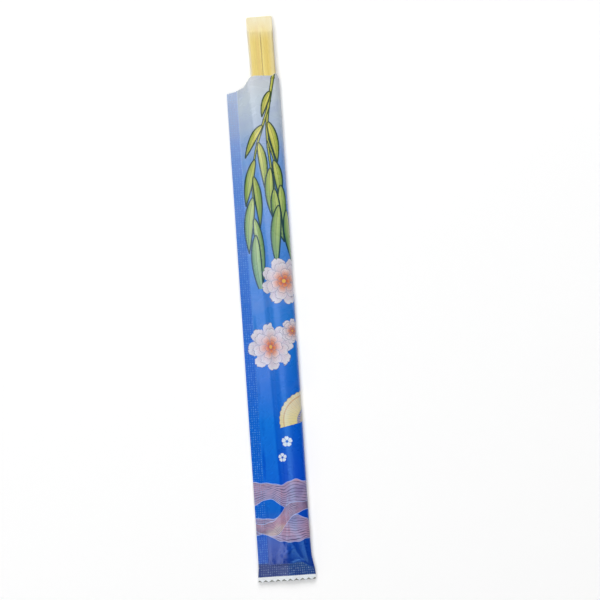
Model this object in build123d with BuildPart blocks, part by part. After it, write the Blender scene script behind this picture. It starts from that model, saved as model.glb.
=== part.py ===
from build123d import *

import os
from math import atan, cos, hypot, sin, tan

# Bamboo chopsticks in the printed sleeve that they are sold in, its head torn off.
# Millimetres. +Y runs to the handle end, +Z is up, and the origin is in the middle of the underside.

os.makedirs("parts", exist_ok=True)

# Overall lengths
stick_length = 230.0
exposed_length = 27.5
room_past_tips = 40.6

# Chopsticks: one blank, slit from below the head to the tips
pair_width = 12.4
pair_thickness = 5.0
tip_pair_width = 8.6
tip_thickness = 4.0
slit_width = 0.3
slit_start = 7.5
outer_edge_radius = 1.1
slit_edge_radius = 0.5
tip_edge_radius = 1.5
rounding_start = 140.0
tip_cone_length = 2.4
tip_end_share = 0.62

# Sloped face at the handle end
slope_length = 7.7
slope_end_thickness = 2.0
head_corner_radius = 0.9

# Sleeve: one sheet, folded at the right, sealed at the left and across the foot
film = 0.12
flat_width = 27.7
fold_draw_in = 1.5
side_draw_in = 0.6
side_seal_width = 4.9
side_seal_lift = 1.3
puff_height = 0.6
shoulder_radius = 0.8

# How the film lies round the sticks; the shares are of the way from the side seal to the sticks
side_clearance = 0.3
top_clearance = 0.15
handle_fold_gap = 1.6
tip_fold_gap = 0.6
rise_start_share = 0.52
rise_radius_share = 0.25
touch_down_share = 0.35
crease_height_share = 0.5
body_spans = 5

# Foot of the sleeve: seal band, ridge above it and pinked edge, standing off the table
foot_band_length = 8.1
foot_lift = 2.2
ridge_wall = 0.4
flare_length = 9.0
tooth_pitch = 2.95
tooth_depth = 1.2
tooth_phase = 0.9

# Past the tips the film keeps its bulge, then flattens to the ridge, and its underside rises:
# (share of the way, share of the bulge's height, share of the foot's lift)
foot_shares = (
    (0.0, 1.0, 0.0),
    (0.2, 0.82, 0.06),
    (0.6, 0.74, 0.5),
    (0.85, 0.3, 0.86),
    (1.0, 0.09, 1.0),
)
foot_spread_share = 0.5

# The torn mouth: (share across from the seal, share of the tear's depth below its highest point)
tear_depth = 8.4
tear_shares = (
    (0.0, 1.0),
    (0.17, 0.89),
    (0.34, 0.70),
    (0.42, 0.36),
    (0.465, 0.15),
    (0.55, 0.09),
    (0.86, 0.15),
    (0.95, 0.0),
    (1.0, 0.33),
)

overrun = 5.0

# Places worked out from the sizes
total_length = stick_length + room_past_tips
head_y = total_length / 2
foot_y = head_y - total_length
mouth_y = head_y - exposed_length
tips_y = head_y - stick_length
ridge_y = foot_y + foot_band_length
seal_edge_x = -flat_width / 2
seal_inner_x = seal_edge_x + side_seal_width
flat_fold_x = seal_edge_x + flat_width
filled_fold_x = flat_fold_x - fold_draw_in
sealed_thickness = film * 2

# The pair's middle line leans a little to the fold from handle to tips
handle_x = filled_fold_x - handle_fold_gap - pair_width / 2
tips_x = filled_fold_x - tip_fold_gap - tip_pair_width / 2
skew = atan((tips_x - handle_x) / stick_length)


def blend(start, end, share):
    return start + (end - start) * share


def width_at(station):
    return blend(pair_width, tip_pair_width, station / stick_length)


def thickness_at(station):
    return blend(pair_thickness, tip_thickness, station / stick_length)


def shares_at(way):
    """The shares of the bulge's height and of the lift, this share of the way from the tips to the ridge."""
    for (near, *starts), (far, *ends) in zip(foot_shares, foot_shares[1:]):
        if way <= far:
            return [blend(start, end, (way - near) / (far - near)) for start, end in zip(starts, ends)]
    return foot_shares[-1][1:]


def film_corners(y):
    """The corners of the filled sleeve's outside at y, from the seal's edge over the top and back below."""
    station = min(head_y - y, stick_length)
    below_tips = max(tips_y - y, 0)
    left, lift_share = shares_at(below_tips / (tips_y - ridge_y))
    flare = min(max((ridge_y + flare_length / 2 - y) / flare_length, 0), 1)
    fold_x = blend(filled_fold_x, flat_fold_x, flare)
    edge_x = seal_edge_x + side_draw_in * (1 - lift_share)
    inner_x = edge_x + side_seal_width
    middle = handle_x + tan(skew) * station
    reach = width_at(station) / 2 + side_clearance + film
    under_z = foot_lift * lift_share
    seal_z = side_seal_lift * left
    top_z = sealed_thickness + (thickness_at(station) + top_clearance) * left
    rise_z = seal_z + sealed_thickness + puff_height * left
    spread = foot_spread_share * (1 - left)
    left_x = blend(middle - reach, inner_x, spread)
    right_x = min(blend(middle + reach, fold_x, spread), fold_x - film)
    corners = [
        (edge_x, seal_z + sealed_thickness),
        (inner_x, seal_z + sealed_thickness),
        (blend(inner_x, left_x, rise_start_share), rise_z),
        (left_x, top_z),
        (right_x, top_z),
        (fold_x, top_z * crease_height_share),
        (right_x, 0),
        (blend(inner_x, left_x, touch_down_share), 0),
        (inner_x, seal_z),
        (edge_x, seal_z),
    ]
    return [(x, z + under_z) for x, z in corners]


def inset_line(start, end, distance):
    """A clockwise outline's side, moved in: a point on it and its direction."""
    run = end[0] - start[0]
    rise = end[1] - start[1]
    length = hypot(run, rise)
    return (start[0] + rise / length * distance, start[1] - run / length * distance), (run, rise)


def crossing(one, other):
    """Where two lines meet, each given as a point and a direction."""
    (x1, z1), (u1, w1) = one
    (x2, z2), (u2, w2) = other
    along = ((x2 - x1) * w2 - (z2 - z1) * u2) / (u1 * w2 - w1 * u2)
    return (x1 + u1 * along, z1 + w1 * along)


def pocket_corners(y):
    """The corners of the pocket inside, one film in from the outside, starting where the films part."""
    around = film_corners(y)[1:9]
    sides = [inset_line(start, end, film) for start, end in zip(around, around[1:])]
    return [crossing(sides[-1], sides[0])] + [crossing(a, b) for a, b in zip(sides, sides[1:])]


def section_plane(y):
    return Plane.XZ.offset(-y)


# The chopsticks, lying face to face on the sleeve's back
head_plane = Plane(
    origin=(handle_x, head_y, film),
    x_dir=(cos(skew), sin(skew), 0),
    z_dir=(sin(skew), -cos(skew), 0),
)
side_plane = Plane(origin=head_plane.origin, x_dir=head_plane.z_dir, z_dir=-head_plane.x_dir)

with BuildPart() as chopstick_pair:
    # Head, where both sticks are still one
    for station in (0, slit_start):
        with BuildSketch(head_plane.offset(station)):
            with Locations((0, thickness_at(station) / 2)):
                RectangleRounded(width_at(station), thickness_at(station), outer_edge_radius)
    loft(ruled=True)

    # The two sticks, square at the head and rounder towards the tips, which end in a short cone
    cone_start = stick_length - tip_cone_length
    stick_ends = (
        (slit_start, outer_edge_radius, slit_edge_radius, 1),
        (rounding_start, outer_edge_radius, slit_edge_radius, 1),
        (cone_start, tip_edge_radius, tip_edge_radius, 1),
        (stick_length, tip_edge_radius * tip_end_share, tip_edge_radius * tip_end_share, tip_end_share),
    )
    for side in (-1, 1):
        for station, outer_radius, slit_radius, size_share in stick_ends:
            stick_width = (width_at(station) - slit_width) / 2
            offset_x = (slit_width + stick_width) / 2 * side
            with BuildSketch(head_plane.offset(station)) as stick_end:
                with Locations((offset_x, thickness_at(station) / 2)):
                    Rectangle(stick_width * size_share, thickness_at(station) * size_share)
                inner, outer = stick_end.vertices().group_by(Axis.X)[::side]
                fillet(inner, radius=slit_radius)
                fillet(outer, radius=outer_radius)
        loft(ruled=True)

    # Sloped face of the handle end
    with BuildSketch(side_plane):
        with BuildLine():
            Polyline(
                (slope_length, thickness_at(slope_length)),
                (0, slope_end_thickness),
                (-overrun, slope_end_thickness),
                (-overrun, pair_thickness + overrun),
                (slope_length, pair_thickness + overrun),
                close=True,
            )
        make_face()
    extrude(amount=pair_width, both=True, mode=Mode.SUBTRACT)

    # Eased corners of the handle end
    head_end = chopstick_pair.faces().sort_by(Axis.Y)[-1]
    fillet(head_end.edges().filter_by(Axis.Z), radius=head_corner_radius)
chopstick_pair.part.label = "chopstick_pair"

# The sleeve: the film's outside, less the pocket, with a sealed foot
body_stations = [blend(mouth_y, tips_y, span / body_spans) for span in range(body_spans)]
foot_stations = [blend(tips_y, ridge_y, way) for way, height, lift in foot_shares]
rise_radius = (handle_x - pair_width / 2 - seal_inner_x) * rise_radius_share
outside_radii = (0, 0, rise_radius, shoulder_radius, shoulder_radius, 0, 0, 0, 0, 0)
pocket_radii = (0, rise_radius + film, shoulder_radius - film, shoulder_radius - film, 0, 0, 0)

with BuildPart() as sleeve:
    for y in body_stations + foot_stations:
        with BuildSketch(section_plane(y)):
            with BuildLine():
                FilletPolyline(*film_corners(y), radius=outside_radii, close=True)
            make_face()
    loft(ruled=True)

    # Pocket, open at the mouth and closed by the ridge
    pocket_stations = [mouth_y + overrun] + body_stations + foot_stations[:-1] + [ridge_y + ridge_wall]
    for y in pocket_stations:
        with BuildSketch(section_plane(y)):
            with BuildLine():
                FilletPolyline(*pocket_corners(y), radius=pocket_radii, close=True)
            make_face()
    loft(ruled=True, mode=Mode.SUBTRACT)

    # Foot band, both films sealed flat, with its pinked edge
    tooth_count = int((flat_width + tooth_phase) / tooth_pitch) + 1
    ridge_fold_x = film_corners(ridge_y)[5][0]
    with BuildSketch(Plane.XY.offset(foot_lift)):
        with BuildLine():
            Polyline(
                (seal_edge_x, foot_y),
                (seal_edge_x, ridge_y),
                (seal_edge_x + film, ridge_y + ridge_wall),
                (ridge_fold_x - film, ridge_y + ridge_wall),
                (ridge_fold_x, ridge_y),
                (flat_fold_x, ridge_y - flare_length / 2),
                (flat_fold_x, foot_y),
                close=True,
            )
        make_face()
        for tooth in range(tooth_count):
            valley_x = seal_edge_x - tooth_phase + tooth_pitch * (tooth + 1 / 2)
            with BuildLine():
                Polyline(
                    (valley_x - tooth_pitch / 2, foot_y),
                    (valley_x, foot_y + tooth_depth),
                    (valley_x + tooth_pitch / 2, foot_y),
                    close=True,
                )
            make_face(mode=Mode.SUBTRACT)
    extrude(amount=sealed_thickness)

    # Torn mouth, through both panels at once
    tear_line = [
        (blend(seal_edge_x, filled_fold_x, across), mouth_y - tear_depth * down)
        for across, down in tear_shares
    ]
    with BuildSketch(Plane.XY.offset(-overrun)):
        with BuildLine():
            Polyline(
                (seal_edge_x - overrun, mouth_y - tear_depth),
                *tear_line,
                (filled_fold_x + overrun, tear_line[-1][1]),
                (filled_fold_x + overrun, mouth_y + overrun),
                (seal_edge_x - overrun, mouth_y + overrun),
                close=True,
            )
        make_face()
    extrude(amount=pair_thickness + overrun * 2, mode=Mode.SUBTRACT)
sleeve.part.label = "sleeve"

export_step(chopstick_pair.part, "parts/chopstick_pair.step")
export_step(sleeve.part, "parts/sleeve.step")
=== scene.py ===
from math import atan, cos, pi, radians, sin, tan
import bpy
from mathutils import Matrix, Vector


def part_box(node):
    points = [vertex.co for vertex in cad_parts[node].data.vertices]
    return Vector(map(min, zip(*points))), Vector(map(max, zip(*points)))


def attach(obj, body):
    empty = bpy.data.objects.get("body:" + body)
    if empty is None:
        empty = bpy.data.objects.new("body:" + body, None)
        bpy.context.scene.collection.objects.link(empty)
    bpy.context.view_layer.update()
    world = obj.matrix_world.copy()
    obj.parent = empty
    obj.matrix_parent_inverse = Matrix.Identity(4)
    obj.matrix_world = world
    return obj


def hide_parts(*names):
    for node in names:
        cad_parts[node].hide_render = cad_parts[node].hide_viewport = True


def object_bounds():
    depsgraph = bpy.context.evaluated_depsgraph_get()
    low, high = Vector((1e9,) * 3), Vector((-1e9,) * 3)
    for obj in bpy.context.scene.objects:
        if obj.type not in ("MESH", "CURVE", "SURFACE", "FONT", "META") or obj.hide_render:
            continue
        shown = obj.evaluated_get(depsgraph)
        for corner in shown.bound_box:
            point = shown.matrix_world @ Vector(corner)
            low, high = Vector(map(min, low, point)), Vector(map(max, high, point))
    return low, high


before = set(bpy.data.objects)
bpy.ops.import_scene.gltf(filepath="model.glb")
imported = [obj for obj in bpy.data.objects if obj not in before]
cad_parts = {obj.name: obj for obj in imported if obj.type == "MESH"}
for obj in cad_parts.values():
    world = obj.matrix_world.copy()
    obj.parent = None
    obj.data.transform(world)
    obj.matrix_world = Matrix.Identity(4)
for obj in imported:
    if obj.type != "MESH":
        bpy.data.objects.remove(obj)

from types import SimpleNamespace

import bmesh
import bpy
import numpy as np
from mathutils import Vector

# Bamboo chopsticks in their printed sleeve, whose head is torn off.
# The bamboo gets its grain and its finer edges, and the film its print, seals, facets and creases.

MM = 0.001
cad_low, cad_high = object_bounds()
sleeve_low, sleeve_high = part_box("sleeve")

# Sizes of the chopsticks, in millimetres
STICK_LENGTH = 230.0
PAIR_WIDTH = 12.4
PAIR_THICKNESS = 5.0
TIP_PAIR_WIDTH = 8.6
TIP_THICKNESS = 4.0
SLIT_WIDTH = 0.12
SLIT_START = 7.5
SLIT_RAMP = 4.0
OUTER_EDGE_RADIUS = 1.1
SLIT_EDGE_RADIUS = 0.25
TIP_EDGE_RADIUS = 1.5
ROUNDING_START = 140.0
TIP_CONE_LENGTH = 2.4
TIP_END_SHARE = 0.62
SLOPE_LENGTH = 7.7
SLOPE_END_THICKNESS = 2.0
HEAD_CORNER_RADIUS = 0.9

# Sizes of the sleeve
FILM = 0.12
SEALED = FILM * 2
FLAT_WIDTH = 27.7
FOLD_DRAW_IN = 1.5
SIDE_DRAW_IN = 0.6
SIDE_DRAW_START = 2.0
SIDE_DRAW_RUN = 6.0
SIDE_SEAL_WIDTH = 4.9
SIDE_SEAL_LIFT = 1.3
SEAL_RUN_OUT = 2.0
HEAD_PUFF = 1.9
CLOSE_PUFF = 1.05
CLOSE_START = 30.0
CLOSE_RUN = 80.0
SIDE_CLEARANCE = 0.3
TOP_CLEARANCE = 0.15
HANDLE_FOLD_GAP = 1.6
TIP_FOLD_GAP = 0.6
RISE_START_SHARE = 0.52
CLOSE_RISE_SHARE = 0.76
SHOULDER_RUN = 1.6
SHOULDER_FALL = 0.45
TOUCH_DOWN_SHARE = 0.35
CREASE_HEIGHT_SHARE = 0.5
FOOT_BAND = 8.1
FOOT_LIFT = 2.2
FOOT_SPREAD_SHARE = 0.5
BARE_STRIP = 2.6
FLARE_LENGTH = 9.0
TOOTH_PITCH = 2.95
TOOTH_DEPTH = 1.2
TOOTH_PHASE = 0.9
BACK_TOOTH_SHARE = 0.3
# The way from the tips to the seal, the share of the bulge's height left there, and that of the foot's lift
FOOT_SHARES = (
    (0.0, 1.0, 0.0),
    (0.2, 0.82, 0.06),
    (0.6, 0.74, 0.5),
    (0.85, 0.3, 0.86),
    (1.0, 0.09, 1.0),
    (1.05, 0.0, 1.0),
)
TEAR_DEPTH = 8.4
TEAR_SHARES = (
    (0.0, 1.0),
    (0.17, 0.89),
    (0.34, 0.70),
    (0.42, 0.36),
    (0.465, 0.15),
    (0.55, 0.09),
    (0.86, 0.15),
    (0.95, 0.0),
    (1.0, 0.33),
)

# Places, from the frame
SEAL_X = sleeve_low.x / MM
FLAT_FOLD_X = sleeve_high.x / MM
FOLD_X = FLAT_FOLD_X - FOLD_DRAW_IN
SEAL_INNER_X = SEAL_X + SIDE_DRAW_IN + SIDE_SEAL_WIDTH
FOOT_Y = sleeve_low.y / MM
MOUTH_Y = sleeve_high.y / MM
RIDGE_Y = FOOT_Y + FOOT_BAND
HEAD_Y = -FOOT_Y
TIPS_Y = HEAD_Y - STICK_LENGTH
SLEEVE_LENGTH = MOUTH_Y - FOOT_Y
HANDLE_X = FOLD_X - HANDLE_FOLD_GAP - PAIR_WIDTH / 2
TIPS_X = FOLD_X - TIP_FOLD_GAP - TIP_PAIR_WIDTH / 2
SKEW = atan((TIPS_X - HANDLE_X) / STICK_LENGTH)
# How far the crown may stand over the solids' top
CROWN_ROOM = 0.13
TOP_LIMIT = cad_high.z / MM + CROWN_ROOM

# The print's zones meet at these heights above the foot
TWIG_ZONE = 196.0
LEAF_ZONE = 140.0
BLOOM_ZONE = 73.0


def blend(start, end, share):
    return start + (end - start) * share


def ease(share):
    share = np.clip(share, 0, 1)
    return share * share * (3 - 2 * share)


def shade(red, green, blue):
    """A screen colour of 0 to 255, as Blender's linear colour."""
    levels = (level / 255 for level in (red, green, blue))
    return tuple(((c + 0.055) / 1.055) ** 2.4 if c > 10 / 255 else c / 12.92 for c in levels) + (1,)


def shades(*rows):
    """A ramp's stops, from rows of a place and the three levels of its colour."""
    return [(place, shade(*levels)) for place, *levels in rows]


def placed(name, data):
    """A new object of the scene, at the origin."""
    made = bpy.data.objects.new(name, data)
    bpy.context.scene.collection.objects.link(made)
    return made


def taper(station):
    """The pair's half width and thickness at a station, which is the way from its head."""
    share = station / STICK_LENGTH
    return blend(PAIR_WIDTH, TIP_PAIR_WIDTH, share) / 2, blend(PAIR_THICKNESS, TIP_THICKNESS, share)


def new_piece(name, points, faces, materials, face_materials):
    """A mesh object at the origin, from points in millimetres."""
    mesh = bpy.data.meshes.new(name)
    mesh.from_pydata((np.asarray(points) * MM).tolist(), [], faces)
    for material in materials:
        mesh.materials.append(material)
    mesh.polygons.foreach_set("material_index", face_materials)
    mesh.polygons.foreach_set("use_smooth", [True] * len(faces))
    return placed(name, mesh)


def keep_values(piece, name, kind, values):
    """Stores one value for each point of the piece, for its material to read."""
    attribute = piece.data.attributes.new(name, kind, "POINT")
    field = "vector" if kind == "FLOAT_VECTOR" else "value"
    attribute.data.foreach_set(field, np.asarray(values, dtype=np.float32).ravel())


def settle_normals(piece, angle):
    """Welds double points, turns the faces outwards and keeps edges over the angle sharp."""
    work = bmesh.new()
    work.from_mesh(piece.data)
    bmesh.ops.remove_doubles(work, verts=work.verts, dist=MM * 0.0005)
    bmesh.ops.recalc_face_normals(work, faces=work.faces)
    work.to_mesh(piece.data)
    work.free()
    piece.data.set_sharp_from_angle(angle=radians(angle))


class Value:
    """A shader's value or colour. Sums, products and so on of values make the nodes that work them out."""

    def __init__(self, tree, socket):
        self.tree = tree
        self.socket = socket

    def __add__(self, other):
        return self.tree.math("ADD", self, other)

    def __radd__(self, other):
        return self.tree.math("ADD", other, self)

    def __sub__(self, other):
        return self.tree.math("SUBTRACT", self, other)

    def __rsub__(self, other):
        return self.tree.math("SUBTRACT", other, self)

    def __mul__(self, other):
        return self.tree.math("MULTIPLY", self, other)

    def __truediv__(self, other):
        return self.tree.math("DIVIDE", self, other)

    def __pow__(self, other):
        return self.tree.math("POWER", self, other)

    def __abs__(self):
        return self.tree.math("ABSOLUTE", self)


def by_name(tree, sockets):
    """The sockets' values under plain names such as half_width."""
    return {socket.name.lower().replace(" ", "_"): Value(tree, socket) for socket in sockets}


class Tree:
    """A shader tree, with one short call for each kind of node."""

    def __init__(self, tree):
        self.tree = tree

    def node(self, kind, **settings):
        made = self.tree.nodes.new(kind)
        for name, value in settings.items():
            setattr(made, name, value)
        return made

    def feed(self, socket, value):
        if isinstance(value, Value):
            self.tree.links.new(value.socket, socket)
        else:
            socket.default_value = value

    def give(self, node, **values):
        """Feeds the node's inputs that have these names."""
        sockets = by_name(self, node.inputs)
        for name, value in values.items():
            self.feed(sockets[name].socket, value)

    def read(self, node):
        """The node's outputs, under their names."""
        return SimpleNamespace(**by_name(self, node.outputs))

    def worked(self, kind, values, **settings):
        """The first output of a new node, whose first inputs are fed with the values."""
        made = self.node(kind, **settings)
        for socket, value in zip(made.inputs, values):
            self.feed(socket, value)
        return Value(self, made.outputs[0])

    def math(self, operation, *values):
        return self.worked("ShaderNodeMath", values, operation=operation)

    def most(self, a, b):
        return self.math("MAXIMUM", a, b)

    def sine(self, angle):
        return self.math("SINE", angle)

    def cosine(self, angle):
        return self.math("COSINE", angle)

    def fraction(self, value):
        return self.math("FRACT", value)

    def length(self, x, y):
        return self.math("SQRT", x * x + y * y)

    def held(self, value, low=0.0, high=1.0):
        """The value, kept between low and high. A clamp of its own frees a long shader's memory sooner."""
        return self.worked("ShaderNodeClamp", (value, low, high), clamp_type="RANGE")

    def fall(self, value, edge, soft=0.05):
        """1 where the value is under the edge, 0 over it, with a soft step between."""
        values = (value, edge - soft, edge + soft, 1, 0)
        return self.worked("ShaderNodeMapRange", values, interpolation_type="SMOOTHSTEP", clamp=False)

    def climb(self, value, edge, soft=0.05):
        return 1.0 - self.fall(value, edge, soft)

    def spread(self, value, low, high, to_low=0.0, to_high=1.0):
        values = (value, low, high, to_low, to_high)
        result = self.worked("ShaderNodeMapRange", values, interpolation_type="LINEAR", clamp=False)
        return self.held(result, to_low, to_high)

    def offset(self, place, start):
        """How far the place is from the start, across and up."""
        return [a - b for a, b in zip(self.parts(place)[:2], self.parts(start)[:2])]

    def mix(self, share, a, b):
        made = self.node("ShaderNodeMix", data_type="RGBA")
        for number, value in ((0, share), (6, a), (7, b)):
            self.feed(made.inputs[number], value)
        return Value(self, made.outputs[2])

    def inked(self, colour, *coats):
        """The colour under coats of ink, each with its share and its own colour."""
        for share, ink in coats:
            colour = self.mix(share, colour, ink)
        return colour

    def parts(self, vector):
        made = self.node("ShaderNodeSeparateXYZ")
        self.feed(made.inputs[0], vector)
        return [Value(self, socket) for socket in made.outputs]

    def joined(self, x, y, z):
        return self.worked("ShaderNodeCombineXYZ", (x, y, z))

    def ramp(self, value, stops):
        made = self.node("ShaderNodeValToRGB")
        self.feed(made.inputs[0], value)
        elements = made.color_ramp.elements
        while len(elements) < len(stops):
            elements.new(0.5)
        for element, (place, colour) in zip(elements, stops):
            element.position = place
            element.color = colour
        return Value(self, made.outputs["Color"])

    def noise(self, vector, scale, detail=2.0):
        made = self.node("ShaderNodeTexNoise")
        self.give(made, vector=vector, scale=scale, detail=detail)
        return self.read(made).fac

    def group(self, tree, **inputs):
        made = self.node("ShaderNodeGroup", node_tree=tree)
        self.give(made, **inputs)
        return self.read(made)

    def kept(self, name):
        """What keep_values stored on the piece under this name, as fac or vector."""
        return self.read(self.node("ShaderNodeAttribute", attribute_name=name))

    def put_out(self, **results):
        """Feeds a group's outputs, and returns its node tree."""
        self.give(self.node("NodeGroupOutput"), **results)
        return self.tree


VECTORS = ("place", "root", "centre", "pivot")
COLOURS = ("under", "deep", "bright", "dark", "colour")


def new_group(name, inputs, outputs):
    """A shader node group whose inputs and outputs have these plain names: its tree, and its inputs' values."""
    tree = bpy.data.node_groups.new(name, "ShaderNodeTree")
    for names, in_out in ((inputs, "INPUT"), (outputs, "OUTPUT")):
        for plain in names.split():
            kind = "Vector" if plain in VECTORS else "Color" if plain in COLOURS else "Float"
            socket_name = plain.replace("_", " ").capitalize()
            tree.interface.new_socket(name=socket_name, in_out=in_out, socket_type="NodeSocket" + kind)
    t = Tree(tree)
    return t, t.read(t.node("NodeGroupInput"))


def make_film_ground():
    """The printed ground: pale grey-blue at the head, through sky blue, to deep blue at the foot."""
    t, given = new_group("film_ground", "place", "colour")
    _, up, _ = t.parts(given.place)
    drift = t.noise(given.place, 0.05, 2.0)
    height = up / SLEEVE_LENGTH + (drift - 0.5) * 0.05
    colour = t.ramp(height, shades(
        (0.03, 20, 54, 144),
        (0.05, 8, 60, 164),
        (0.09, 5, 68, 178),
        (0.14, 4, 72, 192),
        (0.21, 3, 75, 206),
        (0.27, 3, 86, 207),
        (0.33, 6, 97, 211),
        (0.39, 18, 105, 213),
        (0.48, 26, 121, 214),
        (0.56, 49, 125, 217),
        (0.66, 76, 138, 218),
        (0.76, 92, 147, 220),
        (0.83, 114, 160, 221),
        (0.89, 174, 192, 216),
        (0.95, 196, 209, 220),
        (1.00, 206, 209, 213),
    ))
    cloud = t.spread(t.noise(given.place, 0.11, 3.0), 0.48, 0.72, 0.0, 0.32)
    cloud = cloud * t.spread(height, 0.3, 0.8)
    return t.put_out(colour=t.mix(cloud, colour, shade(150, 164, 218)))


def make_seal_press():
    """The heat seal's pressed mesh: the height of its cells, and spots of painted highlight on their tops."""
    t, given = new_group("seal_press", "place depth", "area height dots")
    across, up, _ = t.parts(given.place)
    area = t.climb(given.depth, 0.0, 0.1)
    rows = []
    for value, pitch in ((across, 1.05), (up, 1.1)):
        rows.append(t.sine(t.fraction(value / pitch) * pi))
    cell = rows[0] * rows[1]
    # The painted highlight spots are stronger in some places than in others
    uneven_highlight = t.noise(given.place, 0.9, 2.0)
    return t.put_out(
        area=area,
        height=cell * area,
        dots=t.climb(cell, 0.6, 0.22) * area * t.spread(uneven_highlight, 0.42, 0.62, 0.15, 1.0),
    )


def make_leaf():
    """One slender leaf that hangs from its root, turned to one side by an angle and curled back a little."""
    t, given = new_group("leaf", "under place root side angle length half_width deep bright dark", "colour")
    across, up, _ = t.parts(given.place)
    root_across, root_up, _ = t.parts(given.root)
    down = root_up - up
    aside = (across - root_across) * given.side
    cosine = t.cosine(given.angle)
    sine = t.sine(given.angle)
    along = down * cosine + aside * sine
    straight = aside * cosine - down * sine
    share = t.held(along / given.length)
    curl = share * share * given.half_width * 2.0
    across_leaf = straight + curl
    belly = share**0.7 * ((1.0 - share) * 3.1)
    half_width = belly * given.half_width
    beside = abs(across_leaf) - half_width
    on_leaf = t.fall(abs(share - 0.5), 0.495, 0.005)
    off_light = abs(across_leaf / given.half_width + 0.25)
    light = t.spread(off_light, 0.15, 1.0, 1.0, 0.0) * t.spread(share, 0.3, 1.0, 1.0, 0.35)
    rib = t.fall(abs(across_leaf), 0.1, 0.08) * 0.62
    fill = t.inked(given.deep, (light, given.bright), (rib, given.dark))
    body = t.fall(beside, 0.0) * on_leaf
    rim = t.fall(abs(beside + 0.05), 0.34) * on_leaf
    return t.put_out(colour=t.inked(given.under, (body, fill), (rim * 0.95, given.dark)))


def make_stem():
    """A stem that hangs from its root in a slow bend, thinner as it goes, with a joint now and then."""
    t, given = new_group("stem", "under place root lean bend length thickness deep bright dark", "colour")
    across, up, _ = t.parts(given.place)
    root_across, root_up, _ = t.parts(given.root)
    down = root_up - up
    stem_across = root_across + down * (given.lean + given.bend * down)
    stem_across = stem_across + t.sine(down / 6.0) * 0.25
    aside = across - stem_across
    within = t.fall(down, given.length, 0.3) * t.climb(down, 0.0, 0.3)
    joint = abs(t.fraction(down / 11.0) - 0.5)
    joint = t.fall(joint * 11.0, 0.35, 0.3)
    half_width = t.spread(down, 0.0, given.length, 0.5, 0.24) * given.thickness
    half_width = half_width * (1.0 + joint * 0.3)
    body = t.fall(abs(aside), half_width) * within
    light = t.spread(aside / half_width, -0.6, 0.6, 1.0, 0.0)
    fill = t.inked(given.deep, (light, given.bright), (joint * 0.5, given.dark))
    rim = t.fall(abs(abs(aside) - half_width), 0.24) * within
    return t.put_out(colour=t.inked(given.under, (body, fill), (rim * 0.92, given.dark)))


def make_petal_ring():
    """A ring of notched petals round a centre, a little uneven."""
    t, given = new_group("petal_ring", "place centre radius petals turn", "body line vein reach shadow")
    x, y = t.offset(given.place, given.centre)
    distance = t.length(x, y)
    wobble = (t.noise(given.place, 0.28, 2.0) - 0.5) * 0.16
    turn = t.math("ARCTAN2", y, x) / (2 * pi) + given.turn + wobble * 0.35
    share = t.fraction(turn * given.petals + 100.0)
    aside = abs(share - 0.5) * 2.0
    round_off = aside**2.6 * 0.3
    notch = (1.0 - aside) ** 7.0 * 0.08
    edge = (1.0 - round_off - notch + wobble) * given.radius
    body = t.fall(distance - edge, 0.0)
    rim = t.fall(abs(distance - edge), 0.12)
    petal_width = distance * pi / given.petals
    gap = t.fall((1.0 - aside) * petal_width, 0.1)
    vein_share = abs(t.fraction(share * 7.0 + wobble * 9.0) - 0.5)
    vein = t.fall(vein_share * (petal_width * 0.3), 0.05, 0.04)
    reach = distance / edge
    return t.put_out(
        body=body,
        line=t.most(rim, gap * body),
        vein=vein * t.fall(abs(reach - 0.5), 0.4, 0.06) * body,
        reach=reach,
        shadow=aside**2.0 * body,
    )


def make_bloom(ring):
    """A full bloom: white petals with fine grey lines, and inner ones of peach round an orange heart."""
    t, given = new_group("bloom", "under place centre radius turn", "colour")
    colour = given.under
    white = shade(226, 223, 231)
    layers = (
        (1.0, 8.0, 0.0, (shade(176, 150, 170), shade(214, 200, 214), white)),
        (0.78, 7.0, 0.06, (shade(222, 150, 122), shade(224, 200, 204), white)),
        (0.52, 6.0, 0.02, (shade(214, 98, 52), shade(231, 166, 138), shade(232, 212, 212))),
        (0.27, 5.0, 0.09, (shade(206, 78, 36), shade(230, 122, 60), shade(236, 160, 110))),
    )
    for size_share, petals, turn, (deep, middle, light) in layers:
        petal = t.group(
            ring, place=given.place, centre=given.centre, radius=given.radius * size_share,
            petals=petals, turn=given.turn + turn,
        )
        fill = t.inked(
            t.ramp(petal.reach, ((0.3, deep), (0.62, middle), (0.95, light))),
            (petal.shadow * 0.28, shade(150, 140, 172)),
            (petal.vein * 0.42, shade(132, 124, 150)),
        )
        colour = t.inked(colour, (petal.body, fill), (petal.line * 0.7, shade(116, 112, 146)))
    distance = t.length(*t.offset(given.place, given.centre))
    colour = t.mix(t.fall(distance, given.radius * 0.08, 0.2), colour, shade(240, 190, 90))
    return t.put_out(colour=colour)


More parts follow.
